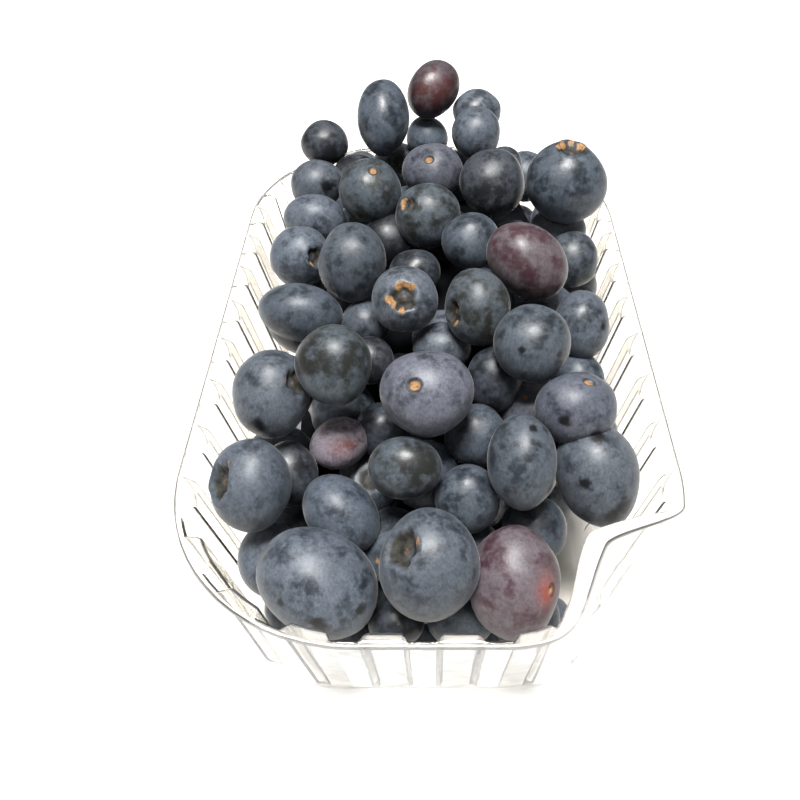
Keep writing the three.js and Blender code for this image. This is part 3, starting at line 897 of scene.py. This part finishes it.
@dataclass
class HeapLayout:
    """Where every berry lies: the laid ones by their table, and the filling settled under them.

    The peeps are points that the eye sees past the laid berries, and no filling may hide them.
    """

    punnet: ClearPunnet
    eye: Point = EYE
    eye_tilt: float = EYE_TILT
    depth_share: float = 0.84
    swell: float = 1.05
    clearance: float = 0.6
    seed: int = 7
    spacing: float = 16.0
    rise: float = 12.4
    first_z: float = 8.2
    layers: int = 5
    rows: int = 6
    columns: int = 4
    jitter: float = 3.2
    smallest: float = 12.5
    spread: float = 5.5
    edge_share: float = 1 / 3
    passes: int = 60
    settle_share: float = 0.5
    crowded: float = 0.72
    open_above_z: float = 36.0
    ceiling_drop: float = 4.0
    ceiling_slope: float = 1.0
    view_overlap: float = 0.8
    bare_end: float = 72.0
    peeps: tuple[Point, ...] = ((4.6, 75.0, 57.0), (-46.0, 75.0, 35.0))
    directions: int = 24
    wall_step: float = 2.0
    wall_rise: float = 4.0
    wall_margin: float = 3.0
    level: np.ndarray = field(init=False)
    corners: np.ndarray = field(init=False)
    squareness: np.ndarray = field(init=False)
    dent: np.ndarray = field(init=False)

    def __post_init__(self) -> None:
        """Works out the level directions, the mouth's reach in each, and the points of the dent."""
        p = self.punnet
        angles = np.radians(np.arange(self.directions) * 360 / self.directions)
        self.level = np.stack([np.cos(angles), np.sin(angles), np.zeros(self.directions)], axis=1)
        centre = [p.half_width - p.mouth_radius, p.half_length - p.mouth_radius]
        self.corners = np.abs(self.level[:, :2]) @ centre + p.mouth_radius
        self.squareness = (2 * self.level[:, 0] * self.level[:, 1]) ** 2
        self.dent = self.wall_points(p.dent_reach[2])

    def wall_points(self, end: float) -> np.ndarray:
        """Points on the inner face of the wall, from the dent's start to a distance along the mouth."""
        p = self.punnet
        past = 0.01
        return np.array(
            [
                p.point(distance, Station(p.sheet + p.wall_inset(z), z), 0.0)
                for distance in np.arange(p.dent_reach[0], end + past, self.wall_step)
                for z in np.arange(p.wall_foot_z, p.height + past, self.wall_rise)
            ]
        )

    def turned(self, roll: float) -> np.ndarray:
        """The turn of a berry that is seen from the eye and rolled."""
        tilt, lean = -math.radians(self.eye_tilt), -math.radians(roll)
        ct, st, cl, sl = math.cos(tilt), math.sin(tilt), math.cos(lean), math.sin(lean)
        tilted = np.array([[1, 0, 0], [0, ct, -st], [0, st, ct]])
        return tilted @ np.array([[cl, 0, sl], [0, 1, 0], [-sl, 0, cl]])

    def wall_gaps(self, place: np.ndarray) -> np.ndarray:
        """How far a point is inside the wall's inner face, in each level direction."""
        z = min(max(place[2], 0.0), self.punnet.height)
        push = self.punnet.corner_push * (1 - z / self.punnet.height) * self.squareness
        return self.corners - self.punnet.sheet - self.punnet.wall_inset(z) + push - self.level @ place

    def reach(self, berry: Lying, directions: np.ndarray) -> np.ndarray:
        """How far a berry and the clearance round it reach in each direction."""
        along = np.linalg.norm(directions @ berry.turn * berry.size, axis=-1)
        return along / 2 * self.swell + self.clearance

    def clear_of_punnet(self, berry: Lying) -> None:
        """Pushes a berry off the wall, the dent and the base."""
        reach = self.reach(berry, self.level)
        for i, direction in enumerate(self.level):
            over = reach[i] - self.wall_gaps(berry.place)[i]
            if over > 0:
                berry.place = berry.place - direction * over
        radius = max(berry.size) / 2 * self.swell
        near = np.linalg.norm(self.dent - berry.place, axis=1) < radius + self.wall_margin
        for point in self.dent[near]:
            away = berry.place - point
            apart = float(np.linalg.norm(away))
            away /= apart
            over = float(self.reach(berry, away)) - apart
            if over > 0:
                berry.place = berry.place + away * over
        below = float(self.reach(berry, np.array([0.0, 0.0, -1.0])))
        berry.place[2] = max(berry.place[2], self.punnet.panel_rise + self.punnet.sheet + below)

    def laid(self) -> list[Lying]:
        """The laid berries, clear of the punnet."""
        found = []
        for berry in LAID:
            size = (berry.width, self.depth_share * (berry.width + berry.height) / 2, berry.height)
            place = np.array(berry.place, dtype=float)
            found.append(Lying(place, np.array(size), self.turned(berry.roll)))
            self.clear_of_punnet(found[-1])
        return found

    def loose(self, draw: Draws) -> list[Lying]:
        """Berries of random size on a loose close packing that reaches up into the heap."""
        found = []
        row_step = self.spacing * math.sqrt(3 / 4)
        for layer in range(self.layers):
            for row in range(-self.rows, self.rows + 1):
                for column in range(-self.columns, self.columns + 1):
                    shift = ((abs(row) + layer) % 2) / 2
                    jitter = [(draw() - 0.5) * self.jitter for _ in range(3)]
                    across = self.smallest + draw() * self.spread
                    place = np.array(
                        [
                            (column + shift) * self.spacing + jitter[0],
                            (row + (layer % 2) / 3) * row_step + jitter[1],
                            self.first_z + layer * self.rise + jitter[2],
                        ]
                    )
                    if self.wall_gaps(place).min() >= across * self.edge_share:
                        found.append(Lying(place, np.full(3, across), np.eye(3)))
        return found

    def settle(self, laid: list[Lying], filling: list[Lying]) -> None:
        """Moves the filling apart and off the punnet."""
        everyone = laid + filling
        radii = np.array([berry.radius for berry in everyone])
        places = np.array([berry.place for berry in everyone])
        for _ in range(self.passes):
            for i, berry in enumerate(filling, start=len(laid)):
                away = places[i] - places
                apart = np.linalg.norm(away, axis=1)
                touch = radii[i] + radii
                near = apart < touch
                near[i] = False
                share = self.settle_share * (touch[near] / apart[near] - 1)
                berry.place = berry.place + (away[near] * share[:, None]).sum(axis=0)
                self.clear_of_punnet(berry)
                places[i] = berry.place

    def is_inside(self, berry: Lying, laid: list[Lying]) -> bool:
        """Whether a filling berry is low in the punnet, or under the slopes round the laid ones."""
        others = np.array([other.place for other in laid])
        aside = np.hypot(*(others - berry.place)[:, :2].T)
        ceiling = (others[:, 2] - self.ceiling_drop - self.ceiling_slope * aside).max()
        return berry.place[2] < max(self.open_above_z, ceiling)

    def hides(self, berry: Lying, laid: list[Lying]) -> bool:
        """Whether a filling berry hides some of a laid one from the eye."""
        for other in laid:
            far, other_far, angle = self.seen(berry.place, other.place)
            touch = berry.radius / far + other.radius / other_far
            if far < other_far and angle < self.view_overlap * touch:
                return True
        return False

    def hides_point(self, berry: Lying, point: np.ndarray) -> bool:
        """Whether a berry hides a point from the eye."""
        near, far, angle = self.seen(berry.place, point)
        return near < far and math.sin(angle) < berry.radius / near

    def seen(self, a: np.ndarray, b: np.ndarray) -> tuple[float, float, float]:
        """How far two places are from the eye, and the angle between them there, in radians."""
        sights = np.array([a, b]) - self.eye
        far, other_far = (float(length) for length in np.linalg.norm(sights, axis=1))
        return far, other_far, math.acos(min(1.0, float(sights[0] @ sights[1]) / far / other_far))

    def settled(self) -> tuple[list[Lying], list[Lying]]:
        """Lays the heap, without the filling that is crowded, too high, or hides what is to show.

        Returns:
            The laid berries, in the order of their table, and the filling under them.
        """
        laid = self.laid()
        shown = [
            point
            for point in [*np.array(self.peeps), *self.wall_points(self.bare_end)]
            if not any(self.hides_point(berry, point) for berry in laid)
        ]
        filling = self.loose(Draws(self.seed))
        self.settle(laid, filling)
        kept = list(laid)
        for berry in filling:
            crowd = any(
                np.linalg.norm(berry.place - other.place) < self.crowded * (berry.radius + other.radius)
                for other in kept
            )
            hides = self.hides(berry, laid) or any(self.hides_point(berry, point) for point in shown)
            if not crowd and not hides and self.is_inside(berry, laid):
                kept.append(berry)
        return laid, kept[len(laid) :]


@dataclass(frozen=True)
class CrownForm:
    """The crown: a hollow with a lobed, ragged lip, over a berry of radius 1.

    What runs outwards is in shares of its radius, and the lip, the boss and the depth are those of
    a full crown. The cork is thick along the arcs and a thin line elsewhere, and the hollow, its
    inner wall and the gaps between the lobes are darkened with painted shade.
    """

    full: float = 0.45
    lobes: int = 5
    ragged: tuple[Triple, ...] = ((0.05, 3.0, 3.0), (0.03, 8.0, 1.0))
    reach: Pair = (0.88, 0.16)
    depth: float = 0.24
    floor: Pair = (0.68, 1.0)
    lip: Bell = Bell(0.04, 1.08, 0.14)
    lip_shares: Triple = (0.35, 0.65, 3.0)
    boss: Bell = Bell(0.012, 0.0, 0.35)
    arc_end: Pair = (0.7, 1.2)
    thick: Bell = Bell(1.0, 0.92, 0.13)
    thick_swing: float = 0.04
    thin: Bell = Bell(0.44, 1.04, 0.07)
    thin_shares: Pair = (0.55, 0.45)
    corky_boss: Bell = Bell(0.36, 0.1, 0.3)
    # The hollow's floor and inner wall, and the gaps between the lobes, are painted shade.
    dark: float = 0.76
    dark_end: Pair = (0.6, 1.05)
    dark_shares: Pair = (0.85, 0.15)
    painted_shade_ring: Bell = Bell(0.5, 0.8, 0.2)
    painted_shade_between_lobes: Bell = Bell(0.35, 1.2, 0.1)

    def shaped(
        self, angle: np.ndarray, azimuth: np.ndarray, radius: float, arcs: tuple[Pair, ...], phase: float
    ) -> tuple[np.ndarray, np.ndarray, np.ndarray]:
        """Shapes it.

        Args:
            angle: How far each point of the berry is from the middle of the crown, in radians.
            azimuth: Where round the crown each is.
            radius: The radius of the crown.
            arcs: The thick stretches of cork: where each is on the clock and how far it reaches to
                both sides, in degrees.
            phase: How it is turned.

        Returns:
            How far each point swells, how corky it is, and how hollow it is: how much painted shade, over the
            dry floor, it takes.
        """
        size = radius / self.full
        ragged = sum(much * np.sin(times * azimuth + phase * turns) for much, times, turns in self.ragged)
        lobe = 0.5 + 0.5 * np.cos(self.lobes * azimuth + phase)
        share = angle / (math.asin(radius) * (self.reach[0] + self.reach[1] * lobe + ragged))
        plain, lobed, torn = self.lip_shares
        swell = self.lip.at(share) * (plain + lobed * lobe + torn * ragged) + self.boss.at(share)
        swell -= self.depth * (1 - smoothstep(share, *self.floor))
        corked = np.zeros_like(angle)
        for clock, reach in arcs:
            away = np.abs((np.degrees(azimuth) - (270 - clock) + 180) % 360 - 180) / reach
            corked = np.maximum(corked, 1 - smoothstep(away, *self.arc_end))
        corked *= self.thick.at(share, self.thick_swing * np.sin(self.lobes * azimuth + phase))
        mean, swing = self.thin_shares
        thin = self.thin.at(share) * (mean + swing * np.sin(2 * azimuth + 3 * phase))
        corky = np.maximum(np.maximum(corked, thin), self.corky_boss.at(share))
        mean, swing = self.dark_shares
        hollow = self.dark * (1 - smoothstep(share, *self.dark_end)) + self.painted_shade_ring.at(share)
        hollow = hollow * (mean + swing * np.sin(azimuth + phase)) + self.painted_shade_between_lobes.at(share) * (1 - lobe)
        return swell * size, corky, hollow


@dataclass(frozen=True)
class ScarForm:
    """The stem scar: a small corky pit with a low lip, in a shallow dimple.

    What runs outwards is in shares of its radius, apart from the dimple, which is in radians.
    """

    depth: float = 0.07
    floor: Pair = (0.6, 1.15)
    lip: Bell = Bell(0.012, 1.35, 0.3)
    dimple: Bell = Bell(0.03, 0.0, 0.4)
    cork_end: Pair = (0.62, 0.95)
    # A ring of painted shade round the scar's lip.
    painted_shade_ring: Bell = Bell(0.8, 1.15, 0.25)

    def shaped(self, angle: np.ndarray, radius: float) -> tuple[np.ndarray, np.ndarray, np.ndarray]:
        """Shapes it.

        Args:
            angle: How far each point of the berry is from the middle of the scar, in radians.
            radius: The radius of the scar.

        Returns:
            How far each point swells, how corky it is, and how hollow it is: how much painted shade it takes
            round the scar.
        """
        share = angle / math.asin(radius)
        swell = self.lip.at(share) - self.dimple.at(angle) - self.depth * (1 - smoothstep(share, *self.floor))
        return swell, 1 - smoothstep(share, *self.cork_end), self.painted_shade_ring.at(share)


@dataclass(frozen=True)
class BerryForm:
    """The form of one berry of radius 1: a grid whose rings close in on its crown and its scar."""

    rings: int
    segments: int
    crowding: float = 0.1
    crown: CrownForm = CrownForm()
    scar: ScarForm = ScarForm()
    unevenness: float = 0.012
    waves: int = 4
    first_wave: float = 2.5

    def faces(self) -> list[tuple[int, ...]]:
        """The faces of the grid, whose first and last points are its two poles."""
        found = []
        last = 1 + (self.rings - 1) * self.segments
        for i in range(self.segments):
            j = (i + 1) % self.segments
            found.append((0, 1 + i, 1 + j))
            for ring in range(self.rings - 2):
                low, high = 1 + ring * self.segments, 1 + (ring + 1) * self.segments
                found.append((low + i, high + i, high + j, low + j))
            tail = last - self.segments
            found.append((last, tail + j, tail + i))
        return found

    def grid(self) -> tuple[np.ndarray, np.ndarray]:
        """The polar angle and the azimuth of each point."""
        share = np.arange(self.rings + 1) / self.rings
        polar = math.pi * (share - self.crowding * np.sin(2 * math.pi * share))
        azimuth = np.arange(self.segments) * 2 * math.pi / self.segments
        inner = np.stack(np.meshgrid(polar[1:-1], azimuth, indexing="ij"), axis=-1).reshape(-1, 2)
        whole = np.vstack([[polar[0], 0.0], inner, [polar[-1], 0.0]])
        return whole[:, 0], whole[:, 1]

    def shaped(
        self,
        axis: np.ndarray,
        crown: float,
        scar: float,
        arcs: tuple[Pair, ...],
        draw: Draws,
        crown_first: bool,
    ) -> tuple[np.ndarray, np.ndarray, np.ndarray]:
        """Shapes the berry.

        Args:
            axis: The unit direction of its first pole.
            crown: The radius of its crown, or 0 for none.
            scar: The radius of its stem scar, or 0 for none.
            arcs: The thick stretches of the crown's cork.
            draw: The generator for what differs from berry to berry.
            crown_first: Whether the crown is at the first pole.

        Returns:
            The points, how corky each is, and how hollow each is: how much painted shade, over the dry floor,
            it takes.
        """
        polar, azimuth = self.grid()
        from_crown = polar if crown_first else math.pi - polar
        swell, corky, hollow = np.zeros((3, len(polar)))
        phase = draw() * 2 * math.pi
        if crown > 0:
            swell, corky, hollow = self.crown.shaped(from_crown, azimuth, crown, arcs, phase)
        if scar > 0:
            dip, cork, dark = self.scar.shaped(math.pi - from_crown, scar)
            swell, corky, hollow = swell + dip, np.maximum(corky, cork), np.maximum(hollow, dark)
        across = np.cross(axis, [0.0, 0.0, 1.0])
        across /= np.linalg.norm(across)
        third = np.cross(axis, across)
        ring = np.cos(azimuth)[:, None] * across + np.sin(azimuth)[:, None] * third
        sphere = np.cos(polar)[:, None] * axis + np.sin(polar)[:, None] * ring
        waves = np.zeros_like(polar)
        for step in range(self.waves):
            way = np.array([draw(), draw(), draw()]) * 2 - 1
            pace = self.first_wave + step
            waves += self.unevenness * np.sin(sphere @ way * pace + draw() * 2 * math.pi)
        return sphere * (1 + swell + waves - waves.max())[:, None], corky, hollow


def toned(skin: Skin, count: int, draw: Draws) -> tuple[np.ndarray, np.ndarray, np.ndarray]:
    """The tones of one berry, a little off its kind's, for each of its points.

    Args:
        skin: The kind of skin.
        count: How many points it has.
        draw: The generator for how it differs.

    Returns:
        The colour of the bloom, the colour where it is rubbed off, and how much it covers.
    """
    tone = skin.value
    lighter, bluer = draw(*LIGHTNESS), draw(*BLUENESS)
    shift = np.array([lighter / bluer, lighter, lighter * bluer, 1.0])
    colours = [np.array(linear(code)) * shift for code in (tone.bloom, tone.rubbed)]
    bloom, rubbed = (np.tile(colour, (count, 1)) for colour in colours)
    cover = np.full(count, tone.cover + draw(-COVER_SWING, COVER_SWING))
    return bloom, rubbed, cover


@dataclass
class LaidBerries:
    """The berries on top, each shaped for itself."""

    lying: list[Lying]
    form: BerryForm = BerryForm(40, 44, crowding=0.115)
    seed: int = 23
    # The blush is reddish skin, and on the berry with the scar at its right also a painted glow.
    blush_and_glow_colour: str = "#8a4438"
    blush_end: Pair = (0.1, 1.3)
    blush_on_bloom: float = 0.6
    blush_bares: float = 0.35
    hidden_crown: float = 0.42
    hidden_scar: float = 0.13
    turned_away: tuple[Pair, ...] = ((-0.5, 0.5), (0.7, 1.0), (0.0, -0.9))

    def local(self, aim: Aim, roll: float) -> np.ndarray:
        """The direction of an aim in the frame of a berry that is rolled."""
        right, up = aim
        towards = math.sqrt(max(0.0, 1 - right * right - up * up))
        lean = math.radians(roll)
        turned = np.array(
            [
                right * math.cos(lean) + up * math.sin(lean),
                -towards,
                up * math.cos(lean) - right * math.sin(lean),
            ]
        )
        return turned / np.linalg.norm(turned)

    def spots(self) -> list[tuple[Vector, float]]:
        """The centre and radius of each dark spot, in metres."""
        found = []
        for spec, berry in zip(LAID, self.lying):
            for right, up, radius in spec.spots:
                direction = self.local((right, up), spec.roll)
                centre = berry.place + berry.turn @ (direction * berry.size / 2)
                found.append((Vector(centre * MM), radius * berry.radius * MM))
        return found

    def build(self, material: bpy.types.Material) -> bpy.types.Object:
        """Builds and joins them.

        Args:
            material: The skin.

        Returns:
            The piece.
        """
        draw = Draws(self.seed)
        pattern = self.form.faces()
        kept: dict[str, list[np.ndarray]] = {}
        faces: list[tuple[int, ...]] = []
        start = 0
        for spec, berry in zip(LAID, self.lying):
            crown_first = spec.end is not End.SCAR
            if spec.end is End.AWAY:
                axis = np.array([draw(*ends) for ends in self.turned_away])
                axis /= np.linalg.norm(axis)
                crown, scar = self.hidden_crown, 0.0
            else:
                axis = self.local(spec.aim, spec.roll)
                crown = spec.ring if crown_first else self.hidden_crown
                scar = self.hidden_scar if crown_first else spec.ring
            unit, corky, hollow = self.form.shaped(axis, crown, scar, spec.arcs, draw, crown_first)
            bloom, rubbed, cover = toned(spec.skin, len(unit), draw)
            if spec.blush:
                right, up, radius, strength = spec.blush
                away = np.linalg.norm(unit - self.local((right, up), spec.roll), axis=1)
                share = strength * (1 - smoothstep(away / radius, *self.blush_end))
                red = np.array(linear(self.blush_and_glow_colour))
                rubbed += (red - rubbed) * share[:, None]
                bloom += (red - bloom) * self.blush_on_bloom * share[:, None]
                cover -= self.blush_bares * share
            placed = (unit * berry.size / 2) @ berry.turn.T + berry.place
            parts = {
                "place": placed,
                "bloom_colour": bloom,
                "rubbed_colour": rubbed,
                "bloom_cover": cover,
                "cork": corky,
                "hollow": hollow,
            }
            for name, values in parts.items():
                kept.setdefault(name, []).append(values)
            faces += [tuple(start + corner for corner in face) for face in pattern]
            start += len(unit)
        joined = {name: np.concatenate(values) for name, values in kept.items()}
        piece = mesh_object("laid_berries", joined.pop("place") * MM, faces, material)
        for name, values in joined.items():
            store(piece.data, name, values)
        return piece


@dataclass
class FillingBerries:
    """The berries below, copies of one plainer form that a tree of nodes turns and squeezes."""

    lying: list[Lying]
    form: BerryForm = BerryForm(14, 18, crowding=0.08)
    seed: int = 41
    slimmest: float = 0.86
    fattest: float = 1.0
    axis: Point = (0.0, -1.0, 0.0)
    crown: float = 0.38
    scar: float = 0.13
    skins: tuple[Skin, ...] = (
        Skin.BLOOMED, Skin.SLATE, Skin.BLOOMED, Skin.INKY, Skin.LAVENDER, Skin.OLIVE, Skin.SLATE,
    )

    def tree(self) -> bpy.types.NodeTree:
        """The tree: a berry on each point, turned and squeezed at random, made real and dressed."""
        tree = bpy.data.node_groups.new("berries_on_points", "GeometryNodeTree")
        sockets = {
            "Points": "NodeSocketGeometry",
            "Berry": "NodeSocketObject",
            "Skin": "NodeSocketMaterial",
            "Seed": "NodeSocketInt",
            "Slimmest": "NodeSocketFloat",
            "Fattest": "NodeSocketFloat",
        }
        for name, kind in sockets.items():
            tree.interface.new_socket(name, in_out="INPUT", socket_type=kind)
        tree.interface.new_socket("Berries", in_out="OUTPUT", socket_type="NodeSocketGeometry")
        n = Nodes(tree)
        given = n.add("NodeGroupInput").outputs
        berry = n.add("GeometryNodeObjectInfo", {"Object": given["Berry"]}).outputs["Geometry"]
        limits = {"Max": (2 * math.pi,) * 3, "Seed": given["Seed"]}
        turn = n.add("FunctionNodeRandomValue", limits, data_type="FLOAT_VECTOR")
        limits = {"Min": given["Slimmest"], "Max": given["Fattest"], "Seed": given["Seed"]}
        squeeze = n.add("FunctionNodeRandomValue", limits, data_type="FLOAT_VECTOR")
        across = n.add("GeometryNodeInputNamedAttribute", {"Name": "across"}, data_type="FLOAT")
        size = n.add("ShaderNodeVectorMath", {0: squeeze, "Scale": across}, operation="SCALE")
        euler = n.add("FunctionNodeEulerToRotation", {"Euler": turn})
        placed = n.add(
            "GeometryNodeInstanceOnPoints",
            {"Points": given["Points"], "Instance": berry, "Rotation": euler, "Scale": size},
        )
        real = n.add("GeometryNodeRealizeInstances", {"Geometry": placed})
        dressed = n.add("GeometryNodeSetMaterial", {"Geometry": real, "Material": given["Skin"]})
        n.add("NodeGroupOutput", {"Berries": dressed})
        return tree

    def build(self, material: bpy.types.Material) -> bpy.types.Object:
        """Builds them.

        Args:
            material: The skin.

        Returns:
            The piece.
        """
        draw = Draws(self.seed)
        axis = np.array(self.axis)
        unit, corky, hollow = self.form.shaped(axis, self.crown, self.scar, (), draw, True)
        master = mesh_object("plain_berry", unit / 2 * MM, self.form.faces(), material)
        store(master.data, "cork", corky)
        store(master.data, "hollow", hollow)
        points = mesh_object("filling_points", np.array([b.place for b in self.lying]) * MM, [], material)
        store(points.data, "across", np.array([float(berry.size[0]) for berry in self.lying]))
        tones = [toned(self.skins[int(draw() * len(self.skins))], 1, draw) for _ in self.lying]
        for i, name in enumerate(("bloom_colour", "rubbed_colour", "bloom_cover")):
            store(points.data, name, np.concatenate([tone[i] for tone in tones]))
        tree = self.tree()
        modifier = points.modifiers.new("berries_on_points", "NODES")
        modifier.node_group = tree
        inputs = {
            "Berry": master,
            "Skin": material,
            "Seed": self.seed,
            "Slimmest": self.slimmest,
            "Fattest": self.fattest,
        }
        for item in tree.interface.items_tree:
            if item.in_out == "INPUT" and item.name in inputs:
                modifier[item.identifier] = inputs[item.name]
        evaluated = points.evaluated_get(bpy.context.evaluated_depsgraph_get())
        mesh = bpy.data.meshes.new_from_object(evaluated)
        points.modifiers.remove(modifier)
        bpy.data.objects.remove(points)
        bpy.data.objects.remove(master)
        mesh.name = "filling_berries"
        return linked("filling_berries", mesh)


@dataclass
class HeapCore:
    """What lies in deep shade inside the heap: a lumpy hull drawn in from the berries' centres, painted near
    black as shade.
    """

    lying: list[Lying]
    drawn_in: float = 0.93
    sink: float = 3.0
    lowest: float = 7.0
    lump: float = 1.4
    lump_paces: Triple = (900.0, 760.0, 830.0)
    cuts: int = 2
    # The core's near-black colour is painted shade.
    shade: PlainMatt = PlainMatt("painted_shade_inside_heap", "#0d0f12", "#050506", 4.0, glint=0.05)

    def build(self) -> bpy.types.Object:
        """Builds the core and dresses it."""
        hull = bmesh.new()
        for berry in self.lying:
            x, y, z = berry.place
            low = max(self.lowest, z - self.sink)
            hull.verts.new((x * self.drawn_in * MM, y * self.drawn_in * MM, low * MM))
        made = bmesh.ops.convex_hull(hull, input=hull.verts)
        loose = {v for v in made["geom_interior"] + made["geom_unused"] if isinstance(v, bmesh.types.BMVert)}
        bmesh.ops.delete(hull, geom=list(loose), context="VERTS")
        bmesh.ops.subdivide_edges(hull, edges=hull.edges, cuts=self.cuts, use_grid_fill=True)
        middle = sum((v.co for v in hull.verts), Vector()) / len(hull.verts)
        for vert in hull.verts:
            wave = math.prod(math.sin(value * pace) for value, pace in zip(vert.co, self.lump_paces))
            vert.co += (middle - vert.co).normalized() * self.lump * MM * (1 + wave)
        bmesh.ops.recalc_face_normals(hull, faces=hull.faces)
        mesh = bpy.data.meshes.new("heap_core")
        hull.to_mesh(mesh)
        hull.free()
        mesh.materials.append(self.shade.material())
        return linked("heap_core", mesh)


# ---------------------------------------------------------------------------------------------
# The studio
# ---------------------------------------------------------------------------------------------


@dataclass
class Studio:
    """A pale floor, a bright soft room, one big lamp overhead, and the camera.

    The eye is in millimetres, and the floor and the lamp are in metres.
    """

    eye: Point = EYE
    eye_tilt: float = EYE_TILT
    sensor: float = 36.0
    nearest: float = 0.01
    lens: float = 33.75
    shift: Pair = (-0.04375, -0.03125)
    floor_half: float = 6.0
    board: PlainMatt = PlainMatt("white_painted_board", "#f2f1ee", "#ecebe8", 40.0, 0.7)
    lamp_place: Point = (-0.04, -0.1, 0.9)
    lamp_size: float = 0.32
    lamp_power: float = 20.0
    sky: str = "#ffffff"
    horizon: str = "#b4b0aa"
    sky_from: float = 0.9
    sky_strength: float = 0.46

    def camera(self) -> None:
        """Sets the camera at the eye, looking down at the tilt."""
        data = bpy.data.cameras.new("camera")
        data.sensor_width = self.sensor
        data.lens = self.lens
        data.shift_x, data.shift_y = self.shift
        data.clip_start = self.nearest
        camera = linked("camera", data)
        camera.location = Vector(self.eye) * MM
        camera.rotation_euler = (math.radians(90 - self.eye_tilt), 0.0, 0.0)
        bpy.context.scene.camera = camera

    def floor(self) -> None:
        """Lays the floor."""
        half = self.floor_half
        corners = np.array([(-half, -half, 0), (half, -half, 0), (half, half, 0), (-half, half, 0)])
        floor = mesh_object("floor", corners, [(0, 1, 2, 3)], self.board.material())

    def lamps(self) -> None:
        """Hangs the lamp and lights the room."""
        data = bpy.data.lights.new("overhead_lamp", "AREA")
        data.shape = "DISK"
        data.size = self.lamp_size
        data.energy = self.lamp_power
        linked("overhead_lamp", data).location = self.lamp_place
        world = bpy.data.worlds.new("soft_room")
        world.use_nodes = True
        n = Nodes(world.node_tree)
        way = n.add("ShaderNodeTexCoord").outputs["Generated"]
        up = n.add("ShaderNodeSeparateXYZ", {"Vector": way}).outputs["Z"]
        share = n.add(RANGE, (up, 0.0, self.sky_from))
        colour = n.add(MIX, {0: share, 6: linear(self.horizon), 7: linear(self.sky)}, **COLOURS)
        light = n.add("ShaderNodeBackground", {"Color": colour, "Strength": self.sky_strength})
        n.add("ShaderNodeOutputWorld", {"Surface": light})
        bpy.context.scene.world = world

    def develop(self) -> None:
        """Keeps colours as they are lit, and cleans the picture of noise."""
        scene = bpy.context.scene
        scene.view_settings.view_transform = "Standard"
        scene.view_settings.look = "None"
        scene.use_nodes = True
        n = Nodes(scene.node_tree)
        clean = n.add("CompositorNodeDenoise", {"Image": n.add("CompositorNodeRLayers").outputs["Image"]})
        n.add("CompositorNodeComposite", {"Image": clean})

    def build(self) -> None:
        """Sets up everything that isn't the object."""
        self.camera()
        self.floor()
        self.lamps()
        self.develop()
        LOG.info("studio: camera, floor, lamp and room")


def main() -> None:
    """Builds the object in order, and reports each piece."""
    logging.basicConfig(level=logging.INFO, format="%(message)s")
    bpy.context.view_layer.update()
    Studio().build()
    punnet = ClearPunnet()
    declare(punnet.build(), "punnet")
    laid, filling = HeapLayout(punnet).settled()
    LOG.info("heap: %d laid berries over %d", len(laid), len(filling))
    top = LaidBerries(laid)
    skin = BerrySkin().material(top.spots())
    declare(top.build(skin), "blueberries")
    declare(FillingBerries(filling).build(skin), "blueberries")
    declare(HeapCore(filling).build(), "blueberries")


if __name__ == "__main__":
    main()
